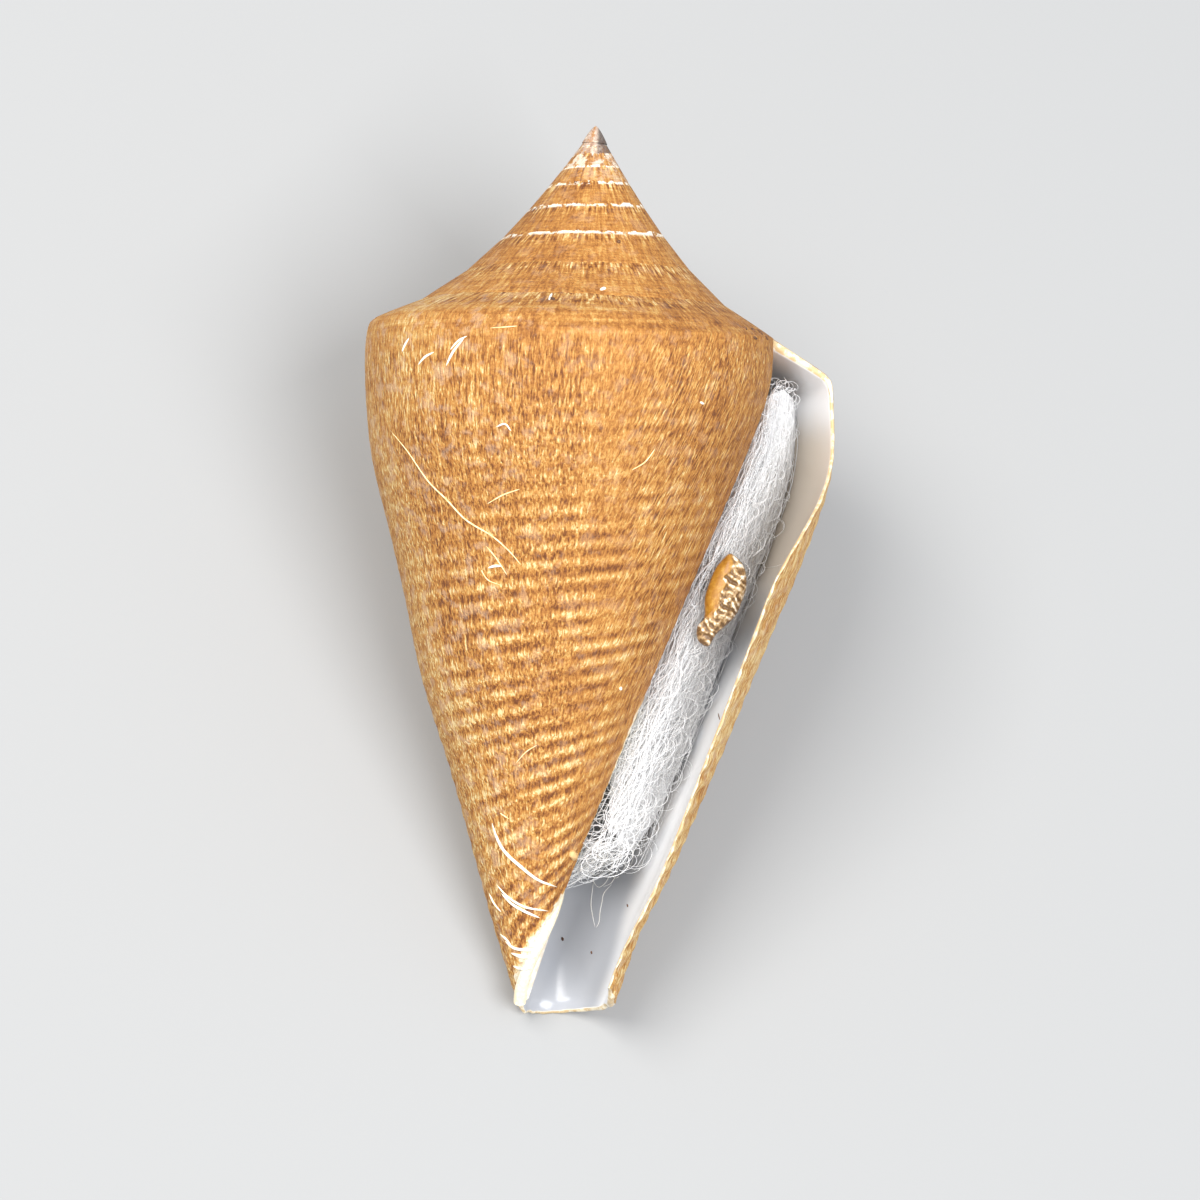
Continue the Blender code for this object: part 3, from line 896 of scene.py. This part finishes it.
def tube_block(paths, radius, sides=3, swell=1.0):
    """Thin tubes along many paths of the same number of points; returns points, sides and caps."""
    count, length, _ = paths.shape
    tangent = np.gradient(paths, axis=1)
    tangent /= np.linalg.norm(tangent, axis=-1, keepdims=True) + 1e-12
    side = np.cross(tangent, np.array([0.31, 0.17, 0.93]))
    side /= np.linalg.norm(side, axis=-1, keepdims=True) + 1e-12
    other = np.cross(tangent, side)
    angles = (np.arange(sides) * 2 * math.pi / sides)[:, None]
    ring = side[:, :, None, :] * np.cos(angles) + other[:, :, None, :] * np.sin(angles)
    taper = np.ones(length) * swell
    taper[[0, -1]] *= 0.35
    points = paths[:, :, None, :] + ring * radius[:, None, None, None] * taper[None, :, None, None]
    numbers = np.arange(count * length * sides).reshape(count, length, sides)
    caps = np.concatenate([numbers[:, 0, ::-1], numbers[:, -1, :]])
    return points.reshape(-1, 3), ring_quads(numbers[:, :-1], numbers[:, 1:], 2), caps


def flowing_paths(rng):
    """Long fibres that lie along the mouth and wave a little."""
    steps = np.linspace(0, 1, 20)[None, :]
    each = (FLOWING_FIBRES, 1)
    start = rng.uniform(-0.015, 0.86, each) * rng.uniform(0.75, 1.0, each)
    length = rng.uniform(0.10, 0.34, each)
    across = rng.beta(1.5, 1.9, each) * 1.02
    drift = rng.normal(0, 0.16, each)
    waves = rng.uniform(0.03, 0.10, each)
    pace = rng.uniform(3, 11, each)
    across = across + drift * steps + waves * np.sin(steps * pace + rng.uniform(0, 7, each))
    lift = rng.uniform(0.0, 0.0010, each)
    lift = lift + 0.0002 * np.sin(steps * 9 + rng.uniform(0, 7, each))
    limit = 1.02 - 0.10 * rng.random(each) ** 1.5
    stop = np.minimum(start + length, limit)
    return cotton_front(start + (stop - start) * steps, np.clip(across, 0.0, 1.04), lift)


def curly_paths(rng):
    """Short curled fibres, each an open loop on the cotton's front."""
    steps = np.linspace(0, 1, 16)[None, :]
    each = (CURLY_FIBRES, 1)
    along = rng.uniform(-0.02, 1.0, each)
    across = rng.beta(1.6, 1.8, each)
    radius = rng.uniform(0.0003, 0.0011, each) * (0.45 + 0.55 * smooth_step(along / 0.5))
    turn = rng.uniform(2.0, 6.5, each) * rng.choice([-1, 1], each)
    phase = rng.uniform(0, 2 * math.pi, each)
    angle = phase + turn * steps
    lift = rng.uniform(0.0001, 0.0010, each) + 0.00025 * np.sin(steps * 5 + phase)
    paths = cotton_front(along + radius * np.sin(angle) / CURL_LENGTH, across + 0 * steps, lift)
    paths[..., 0] += radius * np.cos(angle) * (1 + 0.5 * steps)
    return paths


def loop_paths(rng):
    """Loose loops that hang out of the cotton's lower end, over the smooth inside."""
    steps = np.linspace(0, 1, 24)[None, :]
    each = (LOOSE_LOOPS, 1)
    across = rng.uniform(0.18, 0.62, each)
    reach = rng.uniform(0.03, 0.105, each)
    width = rng.uniform(0.0003, 0.0009, each)
    bend = np.sin(math.pi * steps)
    wobble = rng.normal(0, 0.06, each) * np.sin(steps * rng.uniform(8, 15, each))
    paths = cotton_front(0.955 + reach * bend, across + wobble, -0.0006 - 0.0012 * bend)
    paths[..., 0] += width * np.cos(math.pi * steps) * 1.3 - 0.018 * reach * bend
    return paths


def wad_points():
    """The dense wad under the fibres: a soft lumpy body from the front down to the hollow's back."""
    along = np.linspace(0, 1, 120)[:, None]
    around = np.linspace(0, 1, 72)[None, :-1]
    front = around < 0.5
    across = np.where(front, -0.01 + around * 2.03, 1.005 - (around - 0.5) * 2.03)
    ends = np.sqrt(np.clip(1 - np.abs(2 * along - 1) ** np.where(along > 0.5, 6.0, 40), 0.02, 1))
    across = 0.49 + (across - 0.49) * ends
    lumps = 0.0005 * Noise(21).at(along * 34, across * 6 + 3)
    lumps = lumps + 0.0004 * Noise(22).at(along * 90, across * 17)
    belly = np.sin(math.pi * np.clip(across, 0, 1))
    deep = -0.0042 * (1 - 0.42 * along ** 3) * belly ** 0.6 * ends
    droop = -0.0022 * smooth_step((along - 0.80) / 0.20) * belly ** 0.5
    back = np.minimum(deep - 0.0003, droop - 0.0002) + lumps * 0.3
    lift = np.where(front, (-0.0004 + lumps) * ends + droop, back)
    short = 0.085 * smooth_step(1 - across) * along ** 3 + 0.03 * Noise(23).at(across * 9 + 5, along * 3)
    short = short + 0.07 * Noise(24).at(across * 7 + 5, along * 3) * (1 - along) ** 8
    return cotton_front(along - short * along, across, lift)


def make_cotton(to_row):
    """The wad and its fibres, one soft piece."""
    rng = np.random.default_rng(11)
    wad = wad_points()
    size = wad.shape[0] * wad.shape[1]
    numbers = np.arange(size).reshape(wad.shape[:2])
    points = [wad.reshape(-1, 3)]
    faces = ring_quads(numbers[:-1], numbers[1:], 1).tolist()
    faces += [numbers[0, ::-1].tolist(), numbers[-1].tolist()]
    count = size
    for paths in (flowing_paths(rng), curly_paths(rng), loop_paths(rng)):
        tubes, sides, caps = tube_block(paths, FIBRE_RADIUS * rng.uniform(0.7, 1.5, len(paths)))
        points.append(tubes)
        faces += (sides + count).tolist() + (caps + count).tolist()
        count += len(tubes)
    in_wad = (np.arange(count) < size).astype(float)
    mesh = new_mesh("cotton_wool", np.concatenate(points), faces, wad=in_wad)
    mesh.transform(to_row)
    return new_piece("cotton_wool", mesh, cotton_material())


def cotton_material():
    graph = Graph("cotton_wool", 0.9)
    spot = graph.object_spot()
    haze = graph.noise(graph.stretch(spot, (900, 500, 900)), 1.0, 3.0, 0.6)
    color = graph.mix(graph.spread(haze, 0.35, 0.65), (0.97, 0.968, 0.96), (0.995, 0.993, 0.988))
    # Painted shade: the wad is greyed in frosty patches under the white fibres, standing in for the shade
    # between them
    frost = graph.noise(graph.stretch(spot, (5200, 3400, 5200)), 1.0, 3.0, 0.65)
    grey = graph.times(graph.spread(frost, 0.36, 0.60, 1.0, 0.25), graph.attribute("wad"))
    graph.paint(graph.mix(grey, color, WAD_SHADE_GREY))
    graph.shader.inputs["Sheen Weight"].default_value = 0.5
    graph.shader.inputs["Subsurface Weight"].default_value = 0.3
    graph.shader.inputs["Subsurface Radius"].default_value = (0.0008, 0.0008, 0.0008)
    graph.bump(graph.noise(graph.stretch(spot, (9000, 3500, 9000)), 1.0, 2.0, 0.6), 0.00010, 0.9)
    return graph.material


# The lid's outline round its middle, to the right and up in the picture, in millimetres
LID_OUTLINE = [
    (0.70, 3.37), (1.58, 2.49), (1.80, 1.10), (1.36, -0.37), (0.84, -1.32), (-0.40, -2.49), (-0.99, -3.37),
    (-1.72, -2.93), (-1.80, -1.98), (-1.28, -1.25), (-1.21, 0.29), (-0.55, 2.13), (0.11, 3.0),
]
LID_SHIFT = -0.00045
LID_HEIGHT = 0.00085
LID_SINK = -0.0002
LID_RINGS = 40
LID_POINTS = 180
AMBER_STOPS = [(0.3, (0.30, 0.12, 0.012)), (0.55, (0.42, 0.20, 0.025)), (0.75, (0.56, 0.32, 0.07))]
# The crust's own brown, running from painted shade in the troughs to a pale painted highlight on the crests
CRUST_SHADING_STOPS = [
    (0.05, (0.15, 0.08, 0.03)), (0.35, (0.34, 0.20, 0.08)),
    (0.62, (0.56, 0.40, 0.21)), (0.9, (0.90, 0.81, 0.66)),
]


def between(p0, p1, p2, p3, t):
    """Points from p1 to p2, on the smooth curve through all four."""
    bend = 2 * p0 - 5 * p1 + 4 * p2 - p3
    sway = 3 * p1 - p0 - 3 * p2 + p3
    return 0.5 * (2 * p1 + (p2 - p0) * t + bend * t * t + sway * t ** 3)


def lid_rim():
    """The outline as a smooth closed curve."""
    corners = np.array(LID_OUTLINE) / 1000
    spots = np.linspace(0, len(corners), LID_POINTS, endpoint=False)
    base = np.floor(spots).astype(int)
    return between(*(corners[(base + k) % len(corners)] for k in (-1, 0, 1, 2)), (spots - base)[:, None])


def lid_relief(x, y, share):
    """The lid's height, where its crust is, and how its ridges stand; x and y are in millimetres."""
    middle = 0.28 * y - 0.05
    edge = middle - 0.25 + 0.5 * Noise(33).at(x * 0 + 60, y * 1.9 + 60)
    crust = np.maximum(smooth_step((x - edge) / 0.25), smooth_step((-1.15 - y) / 0.25))
    bend = 8.0 * Noise(31).at(x * 1.5 + 40, y * 1.5 + 40)
    slant = np.sin((y * 0.95 + x * 0.8) * 9.5 + bend)
    rough = Noise(32).at(x * 4 + 50, y * 4 + 50) + 0.6 * Noise(34).at(x * 9 + 50, y * 9 + 50)
    ridges = crust * (0.07 * np.maximum(slant, -0.5) + 0.16 * rough)
    strip = (1 - crust) * 0.05 * np.cos((x - middle) * 3.0)
    dome = np.sqrt(np.clip(1 - share ** 3.2, 0, 1))
    height = LID_HEIGHT * dome + (ridges + strip) / 1000 * np.clip((1 - share) * 7, 0, 1)
    return height, crust, ridges


def lid_faces():
    """Faces over the rings, round the edge, at the middle and over the underside."""
    numbers = np.arange(LID_POINTS * LID_RINGS).reshape(LID_POINTS, LID_RINGS)
    low = LID_POINTS * LID_RINGS + np.arange(LID_POINTS)
    ring = numbers[:, 1]
    faces = ring_quads(numbers[:, 1:-1], numbers[:, 2:], 0, True).tolist()
    faces += ring_quads(numbers[:, -1], low, 0, True).tolist()
    faces += np.stack([np.full(LID_POINTS, numbers[0, 0]), ring, np.roll(ring, -1)], -1).tolist()
    faces.append(low[::-1].tolist())
    return faces


def make_lid(to_row):
    """The horny lid: a smooth amber strip at the left, and a crust of slanting ridges at the right."""
    rim = lid_rim()
    share = np.linspace(0, 1, LID_RINGS)[None, :]
    flat = rim[:, None, :] * share[..., None]
    height, crust, ridges = lid_relief(flat[..., 0] * 1000, flat[..., 1] * 1000, share)
    top = np.concatenate([flat, height[..., None]], -1).reshape(-1, 3)
    under = np.column_stack([rim * 0.9, np.full(LID_POINTS, LID_SINK)])
    crust = np.concatenate([crust.ravel(), np.ones(LID_POINTS)])
    # High on the crests and low in the troughs: it drives the painted highlight and painted shade of the
    # crust
    ridge = np.concatenate([(ridges * 6 + 0.3).ravel(), np.zeros(LID_POINTS)])
    mesh = new_mesh("horny_lid", np.concatenate([top, under]), lid_faces(), crust=crust, ridge=ridge)
    low_corner, high_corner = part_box("operculum")
    middle = to_row.inverted() @ ((low_corner + high_corner) / 2)
    spot = Matrix.Translation(middle + Vector((LID_SHIFT, 0, LID_SINK)))
    mesh.transform(to_row @ spot @ Matrix.Rotation(CAMERA_ROLL, 4, "Z"))
    weld(mesh)
    return new_piece("horny_lid", mesh, lid_material())


def weld(mesh):
    """Joins points that lie on each other."""
    bm = bmesh.new()
    bm.from_mesh(mesh)
    bmesh.ops.remove_doubles(bm, verts=bm.verts, dist=1e-6)
    bm.to_mesh(mesh)
    bm.free()


def lid_material():
    graph = Graph("horny_lid", 0.4)
    grain = graph.noise(graph.object_spot(), 2600.0, 3.0, 0.6)
    # The crust's colour is partly its real brown with grain, partly painted light: pale crests as painted
    # highlight, dark troughs as painted shade
    light = graph.plus(graph.attribute("ridge"), graph.swing(grain, 1.6))
    amber = graph.colours(grain, AMBER_STOPS)
    graph.paint(graph.mix(graph.attribute("crust"), amber, graph.colours(light, CRUST_SHADING_STOPS)))
    graph.bump(grain, 0.00006, 0.7)
    return graph.material


# Marks, each with its radius in micrometres, then x and y of each of its points in the photograph's frame
FRAME_PIXELS = 1200
MARK_LIFT = 0.00001
PALE_MARKS = [
    (75, 390, 430, 408, 452, 428, 481, 447, 500, 466, 520, 492, 536, 510, 552, 521, 565),
    (60, 487, 504, 503, 495, 520, 489),
    (60, 486, 546, 496, 558, 507, 575),
    (50, 481, 570, 488, 580, 500, 585),
    (50, 490, 328, 505, 327, 517, 326),
    (45, 516, 763, 526, 752, 537, 745),
    (60, 500, 813, 509, 819),
    (50, 632, 470, 645, 462, 655, 449),
]
WHITE_MARKS = [
    (150, 492, 823, 497, 838, 505, 852, 520, 866, 538, 880, 557, 887),
    (110, 497, 885, 508, 897, 525, 907, 548, 911),
    (130, 501, 893, 512, 904, 526, 912, 540, 918),
    (100, 489, 893, 494, 903, 501, 912),
    (140, 505, 941, 514, 948, 526, 950, 538, 949),
    (190, 511, 953, 520, 956, 529, 957, 537, 955),
    (150, 513, 966, 522, 969, 531, 967),
    (100, 500, 934, 506, 939, 511, 945),
    (110, 488, 568, 495, 566, 502, 566),
    (90, 402, 352, 405, 345, 409, 338),
    (100, 418, 365, 425, 357, 434, 352),
    (110, 446, 366, 453, 352, 464, 338),
    (80, 450, 350, 458, 341, 467, 336),
    (80, 496, 427, 505, 424, 511, 431),
    (140, 620, 687, 621, 690),
    (150, 600, 290, 606, 288),
    (110, 549, 300, 552, 293),
    (120, 828, 384, 831, 392, 832, 401),
    (100, 700, 402, 704, 404),
]
DARK_MARKS = [
    (170, 617, 241, 620, 243),
    (150, 550, 298, 555, 300),
    (130, 743, 327, 747, 330),
    (150, 750, 328, 755, 332),
    (140, 758, 330, 762, 335),
    (120, 753, 337, 757, 339),
    (110, 765, 336, 768, 340),
    (60, 788, 349, 800, 357, 812, 364, 821, 371),
    (100, 562, 937, 563, 941),
    (80, 591, 951, 592, 954),
    (70, 627, 904, 628, 907),
    (50, 718, 713, 720, 720),
]
LUMP_MARKS = [
    (380, 570, 852, 573, 855, 575, 859),
]
STRAY_FIBRES = [
    (35, 762, 530, 759, 546, 753, 560, 748, 572, 738, 582),
    (28, 754, 563, 763, 567, 773, 567, 782, 564),
    (35, 594, 878, 592, 893, 591, 905, 593, 918, 595, 927),
    (35, 612, 884, 604, 893, 602, 902, 600, 912, 599, 922, 596, 928),
    (28, 587, 862, 590, 850, 598, 842, 607, 848, 606, 862, 598, 868, 592, 860),
    (28, 600, 840, 604, 856, 602, 872, 594, 880),
    (30, 610, 850, 612, 866, 606, 882, 598, 887, 593, 878, 596, 866),
    (28, 576, 878, 583, 868, 592, 862, 602, 857),
    (30, 620, 850, 618, 868, 612, 882, 603, 887),
    (28, 589, 840, 600, 832, 612, 828, 622, 827),
    (28, 628, 852, 624, 868, 616, 878, 608, 870),
    (25, 586, 870, 597, 876, 608, 872, 614, 860),
    (25, 634, 846, 632, 862, 624, 874),
    (25, 592, 846, 600, 858, 611, 862, 621, 855),
    (25, 605, 836, 598, 850, 600, 866, 610, 874),
    (25, 615, 838, 622, 850, 618, 862, 606, 858),
    (22, 803, 560, 806, 566, 808, 573),
    (22, 777, 344, 781, 339, 779, 333),
]
MARK_KINDS = [
    ("pale_threads", PALE_MARKS, "shell", 30, (0.88, 0.62, 0.27), (1.0, 0.83, 0.50), 0.6),
    ("white_chips", WHITE_MARKS, "shell", 14, (0.92, 0.82, 0.60), (0.98, 0.94, 0.82), 0.6),
    ("dark_crumbs", DARK_MARKS, "shell", 14, (0.07, 0.03, 0.015), (0.22, 0.10, 0.04), 0.7),
    ("tan_lump", LUMP_MARKS, "shell", 14, (0.48, 0.26, 0.08), (0.75, 0.50, 0.22), 0.7),
    ("stray_fibres", STRAY_FIBRES, "cotton", 24, (0.90, 0.86, 0.78), (0.97, 0.95, 0.90), 0.7),
]


def smooth_run(points, steps):
    """A smooth curve through points."""
    ends = np.concatenate([[2 * points[0] - points[1]], points, [2 * points[-1] - points[-2]]])
    spots = np.linspace(0, len(points) - 1, steps)
    base = np.minimum(spots.astype(int), len(points) - 2)
    return between(*(ends[base + k] for k in range(4)), (spots - base)[:, None])


def surface_under(camera, trees, pixel):
    """The point that the camera sees at a pixel of the photograph's frame."""
    reach = FRAME_PIXELS * CAMERA_DISTANCE / CAMERA_WIDTH
    middle = FRAME_PIXELS / 2
    ray = Vector(((pixel[0] - middle) / reach, (middle - pixel[1]) / reach, -1.0))
    start = camera.matrix_world.translation
    direction = (camera.matrix_world.to_3x3() @ ray).normalized()
    hits = [tree.ray_cast(start, direction) for tree in trees]
    hits = [hit for hit in hits if hit[0] is not None]
    if not hits:
        return None
    nearest = min(hits, key=lambda hit: hit[3])
    return np.array(nearest[0]) - np.array(direction) * MARK_LIFT


def make_marks(name, marks, steps, camera, trees, material):
    """Threads, chips and crumbs that lie on the surface at the places the photograph shows."""
    paths = []
    radii = []
    for radius, *run in marks:
        pixels = smooth_run(np.reshape(run, (-1, 2)), steps)
        found = [surface_under(camera, trees, pixel) for pixel in pixels]
        if all(point is not None for point in found):
            paths.append(found)
            radii.append(radius * 1e-6)
    swell = np.sin(math.pi * np.linspace(0.04, 0.96, steps)) ** 0.6
    points, sides, caps = tube_block(np.array(paths), np.array(radii), 5, swell)
    return new_piece(name, new_mesh(name, points, sides.tolist() + caps.tolist()), material)


def mark_material(name, one, other, roughness):
    graph = Graph(name, roughness)
    grain = graph.noise(graph.object_spot(), 2500.0, 3.0, 0.6)
    graph.paint(graph.mix(graph.spread(grain, 0.35, 0.65), one, other))
    graph.bump(grain, 0.00003, 0.6)
    return graph.material


def add_marks(pieces):
    camera = bpy.context.scene.camera
    bpy.context.view_layer.update()
    trees = []
    for piece in pieces:
        bm = bmesh.new()
        bm.from_mesh(piece.data)
        trees.append(BVHTree.FromBMesh(bm))
        bm.free()
    for name, marks, slot, steps, one, other, roughness in MARK_KINDS:
        material = mark_material(name, one, other, roughness)
        piece = make_marks(name, marks, steps, camera, trees, material)
        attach(piece, "root")


# The studio
FLOOR_REACH = 0.6
FLOOR_COLOR = (0.345, 0.345, 0.34, 1)
SKY_COLOR = (0.9, 0.93, 1.0, 1)
SKY_STRENGTH = 0.68
SENSOR_WIDTH = 36


def make_stage():
    far = FLOOR_REACH
    mesh = bpy.data.meshes.new("floor")
    mesh.from_pydata([(-far, -far, 0), (far, -far, 0), (far, far, 0), (-far, far, 0)], [], [(0, 1, 2, 3)])
    graph = Graph("floor", 0.8)
    graph.paint(FLOOR_COLOR)
    new_piece("floor", mesh, graph.material)
    world = bpy.data.worlds.new("studio")
    bpy.context.scene.world = world
    world.use_nodes = True
    sky = world.node_tree.nodes["Background"]
    sky.inputs["Color"].default_value = SKY_COLOR
    sky.inputs["Strength"].default_value = SKY_STRENGTH


def make_light(name, place_at, size, power, color):
    data = bpy.data.lights.new(name, "AREA")
    data.size = size
    data.energy = power
    data.color = color
    obj = bpy.data.objects.new(name, data)
    bpy.context.scene.collection.objects.link(obj)
    obj.location = place_at
    obj.rotation_euler = (-Vector(place_at)).to_track_quat("-Z", "Y").to_euler()


def make_lights():
    make_light("key", place_at=(-0.29, 0.09, 0.51), size=0.30, power=3.5, color=(1.0, 0.985, 0.96))
    make_light("fill", place_at=(0.15, -0.18, 0.53), size=0.30, power=3.3, color=(0.95, 0.97, 1.0))


def make_camera(to_row):
    data = bpy.data.cameras.new("camera")
    data.sensor_width = SENSOR_WIDTH
    data.lens = SENSOR_WIDTH * CAMERA_DISTANCE / CAMERA_WIDTH
    data.clip_start = 0.01
    camera = bpy.data.objects.new("camera", data)
    bpy.context.scene.collection.objects.link(camera)
    spot = Matrix.Translation((CAMERA_SIDE, -CAMERA_DEPTH, CAMERA_DISTANCE))
    camera.matrix_world = to_row @ spot @ Matrix.Rotation(CAMERA_ROLL, 4, "Z")
    bpy.context.scene.camera = camera


def main():
    bpy.context.scene.view_settings.view_transform = "Standard"
    to_row = shell_to_row()
    shell = make_shell()
    shell.data.transform(to_row)
    lay_down(shell.data)
    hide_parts("shell")
    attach(shell, "root")
    cotton = make_cotton(to_row)
    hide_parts("cotton_plug")
    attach(cotton, "root")
    lid = make_lid(to_row)
    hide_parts("operculum")
    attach(lid, "root")
    make_stage()
    make_lights()
    make_camera(to_row)
    add_marks([shell, cotton, lid])


main()
